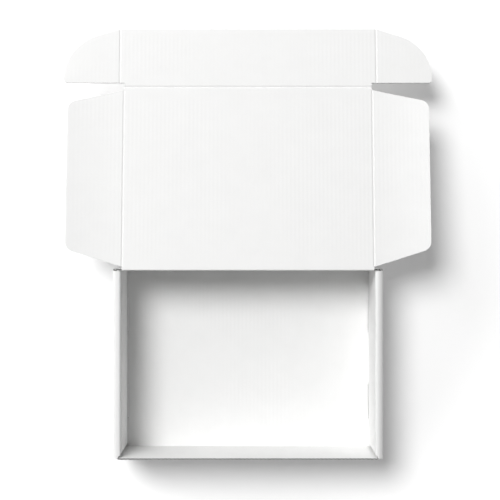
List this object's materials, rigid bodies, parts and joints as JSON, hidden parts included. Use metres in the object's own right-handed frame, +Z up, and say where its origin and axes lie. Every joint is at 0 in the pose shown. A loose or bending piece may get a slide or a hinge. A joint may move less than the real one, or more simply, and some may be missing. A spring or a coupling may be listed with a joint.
{
  "type": "folding gift box",
  "caption": "Shallow white corrugated gift box with double side walls, an attached lid that folds back, lid side flaps and a tuck flap with rounded ears.",
  "frame": {"origin": "centre of the tray's flat underside", "axes": "+X to the right along the hinge, +Y from the front wall to the hinge, +Z up; the lid is open and hangs back 6 degrees below level"},
  "size_m": [0.3058, 0.3549, 0.0538],
  "materials": {
    "white_board": "matt white-lined"
  },
  "bodies": {
    "tray": {"bottom_panel": "white_board", "front_wall": "white_board", "back_wall": "white_board", "left_outer_wall": "white_board", "right_outer_wall": "white_board", "left_top_rail": "white_board", "right_top_rail": "white_board", "left_inner_wall": "white_board", "right_inner_wall": "white_board", "front_left_dust_flap": "white_board", "front_right_dust_flap": "white_board", "back_left_dust_flap": "white_board", "back_right_dust_flap": "white_board"},
    "lid": {"lid_panel": "white_board"},
    "left_side_flap": {"left_lid_flap": "white_board"},
    "right_side_flap": {"right_lid_flap": "white_board"},
    "tuck": {"tuck_flap": "white_board"},
    "left_tuck_ear": {"left_ear": "white_board"},
    "right_tuck_ear": {"right_ear": "white_board"}
  },
  "joints": [
    {"name": "lid_hinge", "type": "hinge", "parent": "tray", "child": "lid", "pos_m": [0, 0.07695, 0.05305], "axis": [1, 0, 0], "range_deg": [-8, 186]},
    {"name": "left_flap_crease", "type": "hinge", "parent": "lid", "child": "left_side_flap", "pos_m": [-0.10295, 0.15258, 0.0451], "axis": [0, 0.9945, -0.1045], "range_deg": [0, 90]},
    {"name": "right_flap_crease", "type": "hinge", "parent": "lid", "child": "right_side_flap", "pos_m": [0.10295, 0.15258, 0.0451], "axis": [0, -0.9945, 0.1045], "range_deg": [0, 90]},
    {"name": "tuck_crease", "type": "hinge", "parent": "lid", "child": "tuck", "pos_m": [0, 0.22822, 0.03715], "axis": [1, 0, 0], "range_deg": [0, 90]},
    {"name": "left_ear_crease", "type": "hinge", "parent": "tuck", "child": "left_tuck_ear", "pos_m": [-0.10655, 0.25308, 0.03454], "axis": [0, 0.9945, -0.1045], "range_deg": [0, 90]},
    {"name": "right_ear_crease", "type": "hinge", "parent": "tuck", "child": "right_tuck_ear", "pos_m": [0.10655, 0.25308, 0.03454], "axis": [0, -0.9945, 0.1045], "range_deg": [0, 90]}
  ]
}
